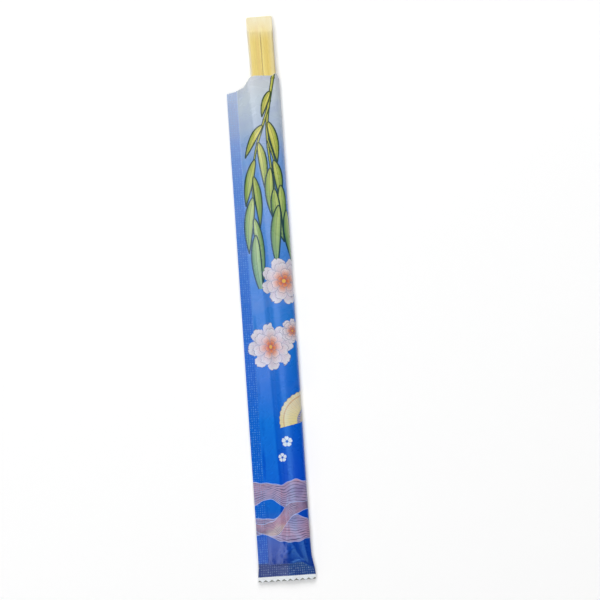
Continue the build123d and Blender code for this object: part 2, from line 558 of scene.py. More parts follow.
def make_fan():
    """An open folding fan: pale yellow leaf with fold lines, on slim ribs."""
    t, given = new_group("folding_fan", "under place pivot radius aim", "colour")
    x, y = t.offset(given.place, given.pivot)
    distance = t.length(x, y)
    cosine = t.cosine(given.aim)
    sine = t.sine(given.aim)
    ahead = x * cosine + y * sine
    aside = y * cosine - x * sine
    angle = t.math("ARCTAN2", aside, ahead)
    half_open = 1.15
    folds = 13.0
    share = t.fraction(angle * (folds / (2 * half_open)) + 50.0)
    tooth = abs(share - 0.5)
    edge = given.radius * (1.0 - tooth * 0.06)
    open_part = t.fall((abs(angle) - half_open) * distance, 0.0)
    paper = t.fall(distance, edge) * (open_part * t.climb(distance, given.radius * 0.4))
    rib_width = tooth * (distance * (2 * half_open) / folds)
    ribs = t.fall(rib_width, 0.24) * (open_part * t.fall(distance, given.radius * 0.44))
    fold_line = t.fall(rib_width, 0.06, 0.05)
    band = t.fall(abs(distance - given.radius * 0.84), 0.3)
    fill = t.inked(
        shade(238, 222, 134),
        (t.spread(y + distance * 0.4, -4.0, 12.0), shade(232, 222, 192)),
        (tooth * 0.5, shade(206, 178, 104)),
        (band * 0.6, shade(206, 150, 96)),
        (fold_line * 0.5, shade(120, 110, 90)),
    )
    rim = t.fall(abs(distance - edge), 0.13) * open_part
    coats = ((ribs, shade(206, 188, 140)), (paper, fill), (rim * 0.8, shade(96, 98, 110)))
    return t.put_out(colour=t.inked(given.under, *coats))


def make_stream():
    """A flowing ribbon of water: fine dark lines that follow it, on mauve and pink."""
    t, given = new_group("stream", "under place level swing phase half_width narrowing warmth", "colour")
    across, up, _ = t.parts(given.place)
    turn = across * (2 * pi / (FLAT_WIDTH * 2)) + given.phase
    rise = t.sine(turn) + t.sine(turn * 2.0 + 0.9) * 0.55
    rise = rise + t.sine(turn * 5.0 + 2.0) * 0.12
    centre = given.level + given.swing * rise
    pinch = 1.0 + given.narrowing * t.sine(turn * 2.0 + 2.6)
    half_width = given.half_width * pinch
    offset = (up - centre) / half_width
    ragged = t.sine(across * 1.25) * 0.035
    edge = (abs(offset) - (1.0 + ragged)) * half_width
    inside = t.fall(edge, 0.0)
    slow = t.noise(t.joined(across * 0.07, offset * 0.5, given.phase), 1.6, 2.0)
    lines = abs(t.fraction(offset * 5.0 + slow * 3.0) - 0.5)
    line = t.fall(lines * (half_width * 0.2), 0.18, 0.08)
    fade = t.spread(t.noise(given.place, 0.21, 2.0), 0.35, 0.62, 0.4, 0.95)
    tone = t.spread(t.noise(given.place, 0.07, 2.0) + given.warmth, 0.35, 0.85)
    fill = t.ramp(tone, shades(
        (0.0, 118, 104, 158),
        (0.3, 162, 148, 190),
        (0.6, 184, 148, 178),
        (0.85, 200, 146, 162),
        (1.0, 206, 180, 176),
    ))
    fill = t.mix(line * fade, fill, shade(84, 66, 104))
    rim = t.fall(abs(edge), 0.17)
    return t.put_out(colour=t.inked(given.under, (inside, fill), (rim * 0.75, shade(178, 186, 232))))


def make_film_finish(press):
    """The film's fine grain and its pressed seals, as a height, with a roughness that drifts a little, and the
    seal cells' painted highlight spots.
    """
    t, given = new_group("film_finish", "place depth", "height roughness dots")
    pressed = t.group(press, place=given.place, depth=given.depth)
    grain = t.noise(given.place, 2.6, 3.0)
    ripple = t.noise(given.place, 0.3, 2.0)
    height = grain * 0.004 + (ripple * 0.03 + pressed.height * 0.09)
    roughness = t.spread(t.noise(given.place, 0.12, 2.0), 0.3, 0.7, 0.25, 0.31)
    return t.put_out(
        height=height,
        roughness=roughness + pressed.area * 0.08,
        dots=pressed.dots,
    )


def make_bamboo_grain():
    """Bamboo along its fibres: long streaks, fine pores and a slow drift of tone."""
    t, given = new_group("bamboo_grain", "place", "streak pore drift")
    x, y, z = t.parts(given.place)
    return t.put_out(
        streak=t.noise(t.joined(x, y * 0.02, z), 2.2, 4.0),
        pore=t.fall(t.noise(t.joined(x, y * 0.05, z), 6.0, 2.0), 0.37, 0.05),
        drift=t.noise(t.joined(x, y * 0.012, z * 0.6), 0.5, 1.0),
    )


film_ground = make_film_ground()
film_finish = make_film_finish(make_seal_press())
leaf_print = make_leaf()
stem_print = make_stem()
petal_ring = make_petal_ring()
bloom_print = make_bloom(petal_ring)
fan_print = make_fan()
stream_print = make_stream()
bamboo_grain = make_bamboo_grain()


def new_material(name):
    material = bpy.data.materials.new(name)
    material.use_nodes = True
    material.node_tree.nodes.clear()
    t = Tree(material.node_tree)
    shader = t.node("ShaderNodeBsdfPrincipled")
    out = t.node("ShaderNodeOutputMaterial")
    t.give(out, surface=t.read(shader).bsdf)
    return material, t, shader


def add_bump(t, shader, height, strength, distance):
    bump = t.node("ShaderNodeBump")
    t.give(bump, strength=strength, distance=distance, height=height)
    t.give(shader, normal=t.read(bump).normal)


# The print: twigs at the head, blooms and a fan in the middle, a stream at the foot. Places are in millimetres
# on the flat film: across from the front's seal edge, round the fold to the back's, and up from the foot.

# Root, lean, bend, length, thickness
STEMS = (
    ((24.5, 246.0, 0), -0.30, 0.0040, 67.0, 1.4),
    ((20.1, 226.5, 0), -0.45, 0.0045, 61.0, 1.1),
    ((19.0, 211.0, 0), 0.22, -0.0006, 34.0, 0.9),
    ((36.0, 248.0, 0), 0.10, 0.0006, 62.0, 1.3),
    ((49.0, 248.0, 0), -0.16, 0.0010, 66.0, 1.3),
)
# Root, side, angle, length, half width
LEAVES = (
    ((21.6, 234.5, 0), -1, 0.60, 13.0, 1.5),
    ((19.4, 220.0, 0), 1, 0.36, 20.0, 2.0),
    ((16.9, 218.5, 0), -1, 0.78, 18.0, 1.8),
    ((14.2, 210.5, 0), 1, 0.26, 22.0, 2.0),
    ((12.0, 202.5, 0), -1, 0.46, 23.0, 2.1),
    ((21.0, 201.5, 0), 1, 0.30, 19.0, 2.0),
    ((19.2, 198.0, 0), -1, 0.18, 24.0, 2.1),
    ((10.4, 194.5, 0), 1, 0.24, 25.0, 2.2),
    ((23.4, 189.5, 0), 1, 0.10, 24.0, 2.2),
    ((20.5, 188.0, 0), -1, 0.05, 26.0, 2.2),
    ((9.3, 184.5, 0), -1, 0.30, 27.0, 2.3),
    ((22.1, 180.0, 0), -1, 0.24, 30.0, 2.4),
    ((25.6, 177.5, 0), -1, 0.04, 29.0, 2.3),
    ((9.0, 174.5, 0), 1, 0.24, 31.0, 2.4),
    ((9.4, 166.5, 0), -1, 0.10, 31.0, 2.4),
    ((38.4, 228.0, 0), -1, 0.34, 25.0, 2.2),
    ((39.6, 219.0, 0), 1, 0.30, 27.0, 2.3),
    ((41.6, 202.0, 0), -1, 0.26, 31.0, 2.4),
    ((43.2, 190.0, 0), 1, 0.16, 30.0, 2.4),
    ((46.4, 230.0, 0), 1, 0.30, 25.0, 2.2),
    ((44.0, 212.0, 0), 1, 0.34, 28.0, 2.3),
    ((42.4, 186.0, 0), -1, 0.12, 34.0, 2.4),
)
# Centre, radius, turn
BLOOMS = (
    ((22.0, 143.5, 0), 11.5, 0.02),
    ((46.0, 128.0, 0), 10.5, 0.0),
    ((13.2, 112.5, 0), 11.5, 0.05),
    ((24.4, 119.5, 0), 6.0, 0.08),
)
# Pivot, radius, aim
FANS = (((29.5, 76.5, 0), 14.5, 2.2),)
# Level, swing, phase, half width, narrowing, warmth
STREAMS = (
    (40.0, 3.4, 0.2, 5.4, 0.3, 0.1),
    (24.6, 2.2, 0.7, 5.2, 0.3, 0.0),
    (31.5, 4.4, 4.3, 3.0, 0.4, 0.24),
)
# Centre and radius of small five-petalled marks
SMALL_BLOSSOMS = (
    ((18.2, 67.0, 0), 2.7),
    ((15.4, 59.4, 0), 2.3),
)
SMALL_PETALS = 5.0
SMALL_TURN = 0.05


# Room that a stem or leaf may take up beside its line, the leaf's in its own half widths, and past its root
STEM_MARGIN = 2.0
LEAF_MARGIN = 4.0
ROOT_MARGIN = 1.0


def drawn(t, place, colour, motif, names, rows, **inks):
    """The colour with the motif drawn over it once for each row of a table, whose columns have these names."""
    for row in rows:
        colour = t.group(motif, under=colour, place=place, **dict(zip(names.split(), row)), **inks).colour
    return colour


def touches(zone, sides, low, high):
    """Whether what lies between two sides and two heights reaches into a zone: from and to across, then up."""
    return min(sides) < zone[1] and max(sides) > zone[0] and low < zone[3] and high > zone[2]


def stem_in(zone, stem):
    (across, up, _), lean, bend, length, thickness = stem
    middles = [across + down * (lean + bend * down) for down in range(int(length))]
    sides = [min(middles) - STEM_MARGIN, max(middles) + STEM_MARGIN]
    return touches(zone, sides, up - length - ROOT_MARGIN, up + ROOT_MARGIN)


def leaf_in(zone, leaf):
    (across, up, _), side, angle, length, half_width = leaf
    ends = (across, across + side * sin(angle) * length)
    margin = LEAF_MARGIN * half_width
    sides = [min(ends) - margin, max(ends) + margin]
    return touches(zone, sides, up - length - ROOT_MARGIN, up + 2 * ROOT_MARGIN)


def twigs_in(*zone):
    """Draws the stems and leaves that reach into one zone of the film: from and to across, then up."""

    def with_twigs(t, place, colour):
        _, up, _ = t.parts(place)
        height = t.spread(up, LEAF_ZONE, SLEEVE_LENGTH)
        inks = {
            "bright": t.ramp(height, shades(
                (0.0, 158, 196, 150),
                (0.45, 186, 204, 112),
                (0.75, 224, 216, 104),
            )),
            "deep": t.ramp(height, shades(
                (0.0, 86, 142, 112),
                (0.45, 104, 146, 64),
                (0.8, 150, 164, 52),
            )),
            "dark": t.ramp(height, shades(
                (0.0, 20, 62, 84),
                (1.0, 26, 58, 16),
            )),
        }
        stems = [stem for stem in STEMS if stem_in(zone, stem)]
        leaves = [leaf for leaf in LEAVES if leaf_in(zone, leaf)]
        colour = drawn(t, place, colour, stem_print, "root lean bend length thickness", stems, **inks)
        return drawn(t, place, colour, leaf_print, "root side angle length half_width", leaves, **inks)

    return with_twigs


def with_fan(t, place, colour):
    return drawn(t, place, colour, fan_print, "pivot radius aim", FANS)


def with_blooms(t, place, colour, blooms=BLOOMS):
    return drawn(t, place, colour, bloom_print, "centre radius turn", blooms)


def with_first_bloom(t, place, colour):
    """The topmost bloom reaches up into the twigs' zone."""
    return with_blooms(t, place, colour, BLOOMS[:1])


def with_stream(t, place, colour):
    """Draws the small marks, the ribbons of water and the bare strip at the cut."""
    for centre, radius in SMALL_BLOSSOMS:
        petal = t.group(
            petal_ring, place=place, centre=centre, radius=radius, petals=SMALL_PETALS, turn=SMALL_TURN
        )
        heart = t.fall(petal.reach, 0.26, 0.06)
        mark = petal.body * (1.0 - t.most(heart, petal.line * 0.8))
        colour = t.mix(mark, colour, shade(226, 234, 246))
    names = "level swing phase half_width narrowing warmth"
    colour = drawn(t, place, colour, stream_print, names, STREAMS)
    _, up, _ = t.parts(place)
    return t.mix(t.fall(up, BARE_STRIP), colour, shade(240, 243, 246))


# Share of the way up the sleeve, and the sheen's tint there: the coating's ink lends it its blue
SHEEN_TINTS = (
    (0.07, (0.75, 0.85, 1.0, 1.0)),
    (0.14, (0.05, 0.58, 1.0, 1.0)),
    (0.32, (0.05, 0.56, 1.0, 1.0)),
    (0.42, (0.45, 0.54, 1.0, 1.0)),
    (0.56, (0.50, 0.64, 1.0, 1.0)),
    (0.80, (0.95, 0.95, 1.0, 1.0)),
)


def make_print(name, *motifs):
    """Satin coated paper with one zone of the print."""
    material, t, shader = new_material(name)
    place = t.kept("film_place").vector
    across, up, below_tear = t.parts(place)
    printed = t.climb(up, BARE_STRIP, 0.05)
    foot = t.fall(up, FOOT_BAND + 1.0, 0.6)
    pressed = t.climb(t.kept("seal_depth").fac, 0.0, 0.1) * printed
    # Painted shade: the seals are darkened, navy on the foot seal, standing in for the sheen that the pressed film
    # lacks
    seal_painted_shade = t.mix(foot, shade(0, 88, 206), shade(26, 44, 112))
    colour = t.group(film_ground, place=place).colour
    colour = t.mix(pressed * t.spread(up, 120.0, 245.0, 0.62, 0.26), colour, seal_painted_shade)
    for motif in motifs:
        colour = motif(t, place, colour)
    finish = t.group(film_finish, place=place, depth=t.kept("seal_depth").fac)
    tint = t.ramp(up / SLEEVE_LENGTH, SHEEN_TINTS)
    over_sticks = t.climb(across, 15.0, 1.5) * t.fall(up, 80.0, 25.0)
    tint = t.mix(over_sticks, tint, (0.25, 0.68, 1.0, 1.0))
    dots = finish.dots * printed * t.spread(foot, 0, 1, 0.8, 0.6)
    # Painted highlight: the seal cells' tops turn pale blue, and greyer on the foot seal
    dot_highlight_colour = t.inked(colour, (0.45, shade(140, 202, 250)), (foot * 0.8, shade(150, 166, 200)))
    torn = t.fall(below_tear + t.noise(place, 1.7, 3.0) * 0.5, 0.42, 0.06)
    colour = t.inked(colour, (dots, dot_highlight_colour), (torn, shade(232, 234, 236)))
    t.give(shader, base_color=colour, roughness=finish.roughness, specular_ior_level=0.8, specular_tint=tint)
    add_bump(t, shader, finish.height, 0.6, MM)
    return material


def make_bare_paper(name, dark, pale):
    """The film's unprinted inside and its torn and cut edges: paper with short fibres. Made dark grey, it is the
    painted shade of the pinked foot's cut edge.
    """
    material, t, shader = new_material(name)
    fibre = t.noise(t.read(t.node("ShaderNodeTexCoord")).object, 900.0, 4.0)
    t.give(shader, base_color=t.mix(fibre, dark, pale), roughness=t.spread(fibre, 0.3, 0.7, 0.7, 0.85))
    add_bump(t, shader, fibre, 0.4, MM * 0.05)
    return material


def make_bamboo():
    """Planed bamboo with its fibres along the stick, paler and creamier towards the sloped cut at the head, with
    painted light and shade on its edges and beside the slit.
    """
    material, t, shader = new_material("planed_bamboo")
    place = t.kept("stick_place").vector
    across, along, height = t.parts(place)
    cut = t.fall(along, 6.5, 6.5)
    grain = t.group(bamboo_grain, place=place)
    drift = t.spread(grain.drift, 0.36, 0.64)
    cream = t.mix(drift, shade(240, 231, 197), shade(238, 225, 184))
    colour = t.inked(
        shade(245, 223, 136),
        (drift, shade(237, 211, 112)),
        (t.fall(abs(across - 2.6), 1.0, 0.9) * 0.5, shade(235, 205, 90)),
        (t.fall(abs(across + 1.5), 0.7, 0.7) * 0.5, shade(240, 208, 130)),
        # Painted highlight: a bright strip beside the slit, where its rounded edge catches the light
        (t.fall(abs(across - 0.75), 0.35, 0.3) * 0.6, shade(250, 232, 140)),
        # Painted shade: the right edge turns paler and greyer, then grey-brown, as its rounded side turns away
        # from the light
        (t.climb(across, 4.0, 1.2) * 0.6, shade(238, 224, 172)),
        (t.climb(across, 5.5, 0.4) * 0.7, shade(222, 208, 172)),
        # Painted highlight: pale cream on the left edge, whose rounded side catches the light from the left
        (t.fall(across, -5.2, 0.5) * 0.9, shade(252, 243, 214)),
        (t.spread(grain.streak, 0.42, 0.72) * 0.4, shade(218, 184, 96)),
        (cut * 0.95, cream),
        (grain.pore * t.spread(cut, 0, 1, 0.22, 0.1), shade(174, 136, 76)),
    )
    t.give(shader, base_color=colour, roughness=t.spread(grain.streak, 0.3, 0.7, 0.45, 0.6))
    add_bump(t, shader, grain.streak - grain.pore * 0.5, 0.35, MM * 0.12)
    return material


# The film's shape, row by row up the sleeve


def film_shape(y):
    """The film's corners at y, front and back, from the seal's edge to the fold; the sticks' middle and half width
    there; and how much of the bulge's height is left."""
    station = min(HEAD_Y - y, STICK_LENGTH)
    way = (TIPS_Y - y) / (TIPS_Y - RIDGE_Y)
    ways, heights, lifts = np.array(FOOT_SHARES).T
    left = float(np.interp(way, ways, heights))
    lift_share = float(np.interp(way, ways, lifts))
    flare = float(ease((RIDGE_Y + FLARE_LENGTH / 2 - y) / FLARE_LENGTH))
    fold_x = blend(FOLD_X, FLAT_FOLD_X, flare)
    edge_x = SEAL_X + SIDE_DRAW_IN * float(ease((y - FOOT_Y - SIDE_DRAW_START) / SIDE_DRAW_RUN))
    inner_x = edge_x + SIDE_SEAL_WIDTH
    middle = HANDLE_X + tan(SKEW) * station
    half_width, thickness = taper(station)
    reach = half_width + SIDE_CLEARANCE + FILM
    under_z = FOOT_LIFT * lift_share
    seal_z = SIDE_SEAL_LIFT * left
    top_z = SEALED + (thickness + TOP_CLEARANCE) * left
    # The slack film rises evenly at the open head, and lies low up to close beside the sticks further down
    close = float(ease((station - CLOSE_START) / CLOSE_RUN))
    rise_z = seal_z + SEALED + blend(HEAD_PUFF, CLOSE_PUFF, close) * left
    spread = FOOT_SPREAD_SHARE * (1 - left)
    left_x = blend(middle - reach, inner_x, spread)
    right_x = min(blend(middle + reach, fold_x, spread), fold_x - FILM)
    front = (
        (edge_x, seal_z + SEALED),
        (inner_x, seal_z + SEALED),
        (blend(inner_x, left_x, blend(RISE_START_SHARE, CLOSE_RISE_SHARE, close)), rise_z),
        (left_x, top_z),
        (right_x - SHOULDER_RUN * left, top_z),
        (right_x, top_z - SHOULDER_FALL * left),
        (fold_x, top_z * CREASE_HEIGHT_SHARE),
    )
    back = (
        (edge_x, seal_z),
        (inner_x, seal_z),
        (blend(inner_x, left_x, TOUCH_DOWN_SHARE), 0.0),
        (right_x, 0.0),
        (fold_x, top_z * CREASE_HEIGHT_SHARE),
    )
    raised = [[(x, z + under_z) for x, z in panel] for panel in (front, back)]
    return *raised, middle, half_width, left


def points_along(corners, shares):
    """Points on the line through the corners, at these shares of its length."""
    corners = np.array(corners)
    lengths = np.concatenate([[0], np.cumsum(np.hypot(*np.diff(corners, axis=0).T))])
    at = shares * lengths[-1]
    return np.stack([np.interp(at, lengths, corners[:, 0]), np.interp(at, lengths, corners[:, 1])], axis=1)


def smoothed(grid, radius, axis):
    """The grid of numbers, eased along one axis, with its two ends kept."""
    steps = np.arange(-3 * radius, 3 * radius + 1)
    weights = np.exp(-0.5 * (steps / radius) ** 2)
    weights /= weights.sum()
    reach = len(steps) // 2
    pad = [(reach, reach) if a == axis else (0, 0) for a in range(grid.ndim)]
    padded = np.pad(grid, pad, mode="reflect", reflect_type="odd")
    return np.apply_along_axis(lambda line: np.convolve(line, weights, mode="valid"), axis, padded)


def off_seal(x):
    """0 over the side seal, and 1 from a little beside it."""
    return ease((x - SEAL_INNER_X) / SEAL_RUN_OUT)


def crease(x, y, start, end, height, width):
    """A ridge along a line, highest in its middle and gone at its ends."""
    run = np.array(end) - np.array(start)
    share = ((x - start[0]) * run[0] + (y - start[1]) * run[1]) / (run @ run)
    aside = np.abs((x - start[0]) * run[1] - (y - start[1]) * run[0]) / np.hypot(*run)
    ends = np.sin(pi * np.clip(share, 0, 1))
    return height * ends * np.exp(-((aside / width) ** 1.4))


# Columns across each panel and rows up the sleeve
SEAL_COLUMNS = 12
POCKET_COLUMNS = 56
COLUMNS = SEAL_COLUMNS + POCKET_COLUMNS
ROW_STEP = 0.46

ROWS = int(round(SLEEVE_LENGTH / ROW_STEP))
row_y = np.linspace(FOOT_Y, MOUTH_Y, ROWS + 1)
pocket_shares = np.linspace(0, 1, POCKET_COLUMNS + 1)
seal_shares = np.linspace(0, 1, SEAL_COLUMNS, endpoint=False)
shapes = [film_shape(y) for y in row_y]


def panel_grid(which):
    """One panel's points over all rows: x and z, from the seal's edge to the fold."""
    rows = []
    for shape in shapes:
        corners = shape[which]
        seal_x = blend(corners[0][0], corners[1][0], seal_shares)
        seal = np.stack([seal_x, np.full(SEAL_COLUMNS, corners[0][1])], axis=1)
        rows.append(np.concatenate([seal, points_along(corners[1:], pocket_shares)]))
    grid = np.array(rows)
    grid[:, SEAL_COLUMNS:] = smoothed(grid[:, SEAL_COLUMNS:], 2, 1)
    return smoothed(grid, 4, 0)


front = panel_grid(0)
back = panel_grid(1)
across_shares = np.concatenate([
    seal_shares * SIDE_SEAL_WIDTH,
    blend(SIDE_SEAL_WIDTH, FLAT_WIDTH, pocket_shares),
])

# Over the sticks the front film stands in a long crown, whose ridge runs over the slit. Its reach and run-out are
# in half widths of the sticks, and it fades where less than this share of the bulge is left
CROWN_RISE = 0.6
CROWN_SIDE_DROP = 0.1
CROWN_CURVE = 2.1
CROWN_REACH = 1.2
CROWN_RUN_OUT = 0.25
CROWN_FULL_BULGE = 0.7
middles, halves, bulges = (np.array([shape[part] for shape in shapes])[:, None] for part in (2, 3, 4))
off_middle = np.clip(np.abs(front[:, :, 0] - middles) / halves, 0, CROWN_REACH)
rise = np.minimum(CROWN_RISE, TOP_LIMIT - 0.02 - front[:, :, 1].max(axis=1))[:, None]
crown = (rise + CROWN_SIDE_DROP) * (1 - off_middle**CROWN_CURVE) - CROWN_SIDE_DROP
crown *= ease((CROWN_REACH - off_middle) / CROWN_RUN_OUT)
front[:, :, 1] += smoothed(crown * ease(bulges / CROWN_FULL_BULGE), 1, 1)

# The torn mouth and the pinked foot bend the end rows to their outlines. The tear's ragged edge is a sum of waves:
# height, rate, phase
TEAR_WAVES = (
    (0.10, 5.1, 0.0),
    (0.07, 11.3, 1.0),
    (0.05, 23.0, 2.0),
)
TEAR_SETBACK = 0.14
TEAR_BEND = 6.0


def tear_y(x):
    """Where the torn mouth lies at x."""
    shares, depths = np.array(TEAR_SHARES).T
    across = (x - SEAL_X) / (FOLD_X - SEAL_X)
    ragged = sum(height * np.sin(x * rate + phase) for height, rate, phase in TEAR_WAVES)
    return MOUTH_Y - TEAR_DEPTH * np.interp(across, shares, depths) - TEAR_SETBACK + ragged


def pinked_y(x, depth):
    """Where the pinked foot lies at x, with teeth of this depth."""
    share = np.abs(((x - SEAL_X + TOOTH_PHASE) / TOOTH_PITCH) % 1 - 0.5) * 2
    return FOOT_Y + depth * (1 - share)


def snapped_to_teeth(x):
    """The x of the foot row, with the columns nearest each point and valley moved onto it."""
    half = TOOTH_PITCH / 2
    corner = np.round((x - SEAL_X + TOOTH_PHASE) / half) * half + SEAL_X - TOOTH_PHASE
    spacing = FLAT_WIDTH / COLUMNS
    close = (np.abs(corner - x) < spacing * 0.5) & (x > SEAL_X + spacing) & (x < FLAT_FOLD_X - spacing)
    return np.where(close, corner, x)


def with_y(grid, tooth_depth):
    """The panel's points as x, y, z, with the mouth and foot cut to their outlines."""
    y = np.repeat(row_y[:, None], grid.shape[1], axis=1)
    x = grid[:, :, 0].copy()
    cut_height = BARE_STRIP + TOOTH_DEPTH
    x = blend(x, snapped_to_teeth(x), ease(1 - (y - FOOT_Y) / cut_height))
    start = MOUTH_Y - TEAR_DEPTH - TEAR_BEND
    upper = np.clip((y - start) / (MOUTH_Y - start), 0, 1)
    y = np.where(y > start, start + upper * (tear_y(x) - start), y)
    low_end = FOOT_Y + cut_height
    lower = np.clip((low_end - y) / (low_end - FOOT_Y), 0, 1)
    y = np.where(y < low_end, low_end - lower * (low_end - pinked_y(x, tooth_depth)), y)
    return np.stack([x, y, grid[:, :, 1]], axis=2)


# The pinking blade cuts at a slant, so that the back shows a little in the valleys, where the cut edge carries
# painted shade
front = with_y(front, TOOTH_DEPTH)
back = with_y(back, TOOTH_DEPTH * BACK_TOOTH_SHARE)


# The foot seal's upper border above the foot: its level, a hump and a fall to the fold, each with its size, place
# and width
FOOT_SEAL_HEIGHT = 8.3
FOOT_HUMP = (1.0, 6.3, 1.9)
FOOT_FALL = (2.2, 7.5, 5.0)
# Puckers beside the side seal, and creases on the foot seal's border: how many, and between which values each has
# its way across, its way up, its height and its width
PUCKERS = (30, (2.0, 5.5), (-2.6, 2.6), (0.02, 0.05), (0.6, 1.2))
PUCKER_REACH = (4.0, 26.0)
FOOT_CREASES = (16, (-1.0, 1.0), (1.6, 3.8), (0.05, 0.14), (0.35, 0.7))
FOOT_CREASE_SIDES = (-8, 12)
UNDER_BORDER = 0.6
# Slack film beside the sticks, where it ends before them, and its opening at the mouth
SLACK_LIFT = 0.22
SLACK_END = 2.8
SLACK_RUN_OUT = 2.6
MOUTH_LIFT = 0.4
MOUTH_LIFT_RUN = 5.0
# The foot's narrow facet: for each side its x at a height, that height, and how far it leans as it falls
WEDGE_LEFT = (5.0, 19.0, 0.487)
WEDGE_RIGHT = (9.0, 20.0, 0.128)
WEDGE_SLOPE = 0.2
WEDGE_DROP = 1.1
WEDGE_TOP = 24.0
FALLING_SLOPE = 0.1
FALLING_WIDTH = 5.5
FALLING_TOP = 22.0
FACET_RUN_OUT = 5.0
# Two soft folds at the foot: start, end, height and width
FOOT_FOLDS = (
    ((-2.2, 11.6), (5.0, 16.4), 0.42, 0.75),
    ((-1.0, 20.5), (0.2, 12.5), -0.3, 1.2),
)
BORDER_HEIGHT = 0.3
BORDER_WIDTH = 0.45
DEEPEST_FOLD = -0.9


def foot_seal_top(x):
    """How high above the foot its seal reaches at x."""
    hump, hump_x, hump_width = FOOT_HUMP
    fall, fall_x, fall_run = FOOT_FALL
    over = hump * np.exp(-(((x - hump_x) / hump_width) ** 2))
    return FOOT_SEAL_HEIGHT + over - fall * ease((x - fall_x) / fall_run)


def leaning_x(height, x, at_height, lean):
    return x + (at_height - height) * lean


def front_folds(x, y):
    """How far the front film stands off its plain shape: puckers, slack and the creases at the foot."""
    chance = np.random.default_rng(7)
    lift = np.zeros_like(x)
    height = y - FOOT_Y
    in_pocket = off_seal(x) * (1 - ease((x - middles + halves + SLACK_END) / SLACK_RUN_OUT))
    count, across, up, heights, widths = PUCKERS
    for _ in range(count):
        start_y = chance.uniform(RIDGE_Y + PUCKER_REACH[0], MOUTH_Y - PUCKER_REACH[1])
        start = (SEAL_INNER_X - UNDER_BORDER, start_y)
        end = (SEAL_INNER_X + chance.uniform(*across), start_y + chance.uniform(*up))
        lift += crease(x, y, start, end, chance.uniform(*heights), chance.uniform(*widths))
    slack = 0.5 + 0.5 * np.sin(y / 6.1 + 0.8 * np.sin(y / 17.0)) * np.sin(y / 14.7 + 1.3)
    lift += SLACK_LIFT * slack * in_pocket
    from_mouth = np.clip(MOUTH_Y - TEAR_DEPTH + 2 - y, 0, None)
    lift += MOUTH_LIFT * np.exp(-from_mouth / MOUTH_LIFT_RUN) * in_pocket
    # The bulge ends in facets. A narrow one leans left beside the fold and comes to a point on the seal
    wedge_left = leaning_x(height, *WEDGE_LEFT)
    wedge_right = leaning_x(height, *WEDGE_RIGHT)
    wedge_width = np.maximum(wedge_right - wedge_left, 0)
    wedge = np.clip(x - wedge_left, 0, wedge_width) - wedge_width * np.clip((x - wedge_right) / WEDGE_DROP, 0, 1)
    lift += WEDGE_SLOPE * wedge * ease((WEDGE_TOP - height) / FACET_RUN_OUT) * ease((height - 7.0) / 1.5)
    # Left of it the film falls away to the right, and a soft fold runs up across it from the seal
    falling = FALLING_SLOPE * np.clip(x + 1.0, 0, FALLING_WIDTH) * np.clip((wedge_left - x) / 2.0, 0, 1)
    lift -= falling * ease((FALLING_TOP - height) / FACET_RUN_OUT) * ease((height - 8.0) / 3.0)
    for start, end, fold_height, width in FOOT_FOLDS:
        lift += crease(x, height, start, end, fold_height, width)
    count, across, up, heights, widths = FOOT_CREASES
    for _ in range(count):
        start_x = chance.uniform(*FOOT_CREASE_SIDES)
        start = (start_x, foot_seal_top(start_x) - UNDER_BORDER)
        end = (start_x + chance.uniform(*across), start[1] + chance.uniform(*up))
        lift += crease(x, height, start, end, chance.uniform(*heights), chance.uniform(*widths))
    # The seal's upper border is pinched up in a fine line
    over_seal = height - foot_seal_top(x)
    border = np.exp(-(((over_seal - BORDER_HEIGHT) / BORDER_WIDTH) ** 2)) * off_seal(x)
    return np.clip(lift * ease((over_seal + UNDER_BORDER) / 1.6), DEEPEST_FOLD, None) + BORDER_HEIGHT * border


def outward(grid, sign):
    """Each point's direction off the panel, in the plane across the sleeve."""
    run = np.gradient(grid[:, :, 0], axis=1)
    rise = np.gradient(grid[:, :, 2], axis=1)
    length = np.hypot(run, rise)
    length[length == 0] = 1
    return np.stack([-rise / length * sign, np.zeros_like(run), run / length * sign], axis=2)


def waves(x, *rows):
    """A sum of waves. Each row has a wave's height, how far it takes for one radian, and its phase."""
    return sum(height * np.sin(x / run + phase) for height, run, phase in rows)


# Between the sticks and the seal the back lifts a little off the table
BACK_LIFT = 0.08
back_x, back_y = back[:, :, 0], back[:, :, 1]
back_slack = off_seal(back_x) * (1 - ease((back_x + 2) / 4))
back[:, :, 2] += BACK_LIFT * (1 + np.sin(back_y / 7.3 + 2.0)) * back_slack * ease((back_y - RIDGE_Y) / 10)

front_plain = front.copy()
back_plain = back.copy()
fold_share = np.concatenate([np.zeros(SEAL_COLUMNS), pocket_shares])
calm_at_fold = ease((1 - fold_share) / 0.05)[None, :, None]
room = (front[:, :, 2] - back[:, :, 2])[:, :, None]
front_lift = front_folds(front[:, :, 0], front[:, :, 1])[:, :, None] * calm_at_fold
front_lift = np.maximum(front_lift, np.minimum(0, SEALED - room) * 0.9)
front += outward(front, 1) * front_lift
front[:, :, 2] = np.minimum(front[:, :, 2], TOP_LIMIT)

# The side seal stands off the table in slow waves, and the foot band curls a little
seal_wave = waves(row_y, (0.16, 11.3, 0.0), (0.1, 5.1, 1.0)) * ease((row_y - RIDGE_Y) / 25.0)
seal_part = 1 - ease((across_shares - SIDE_SEAL_WIDTH) / 2.5)
for grid in (front, back, front_plain, back_plain):
    grid[:, :, 2] += seal_wave[:, None] * seal_part[None, :]
    in_band = ease((RIDGE_Y + 2.0 - grid[:, :, 1]) / FOOT_BAND)
    grid[:, :, 2] += in_band * waves(grid[:, :, 0], (0.22, 3.7, 0.6), (0.12, 1.6, 0.0))


# The film's materials, in the order of its slots
UPPER_TWIGS, LOWER_TWIGS, BACK_TWIGS, BLOOM_ZONE_PRINT, STREAM_PRINT, BARE_PAPER, CUT_EDGE_PAINTED_SHADE = range(7)


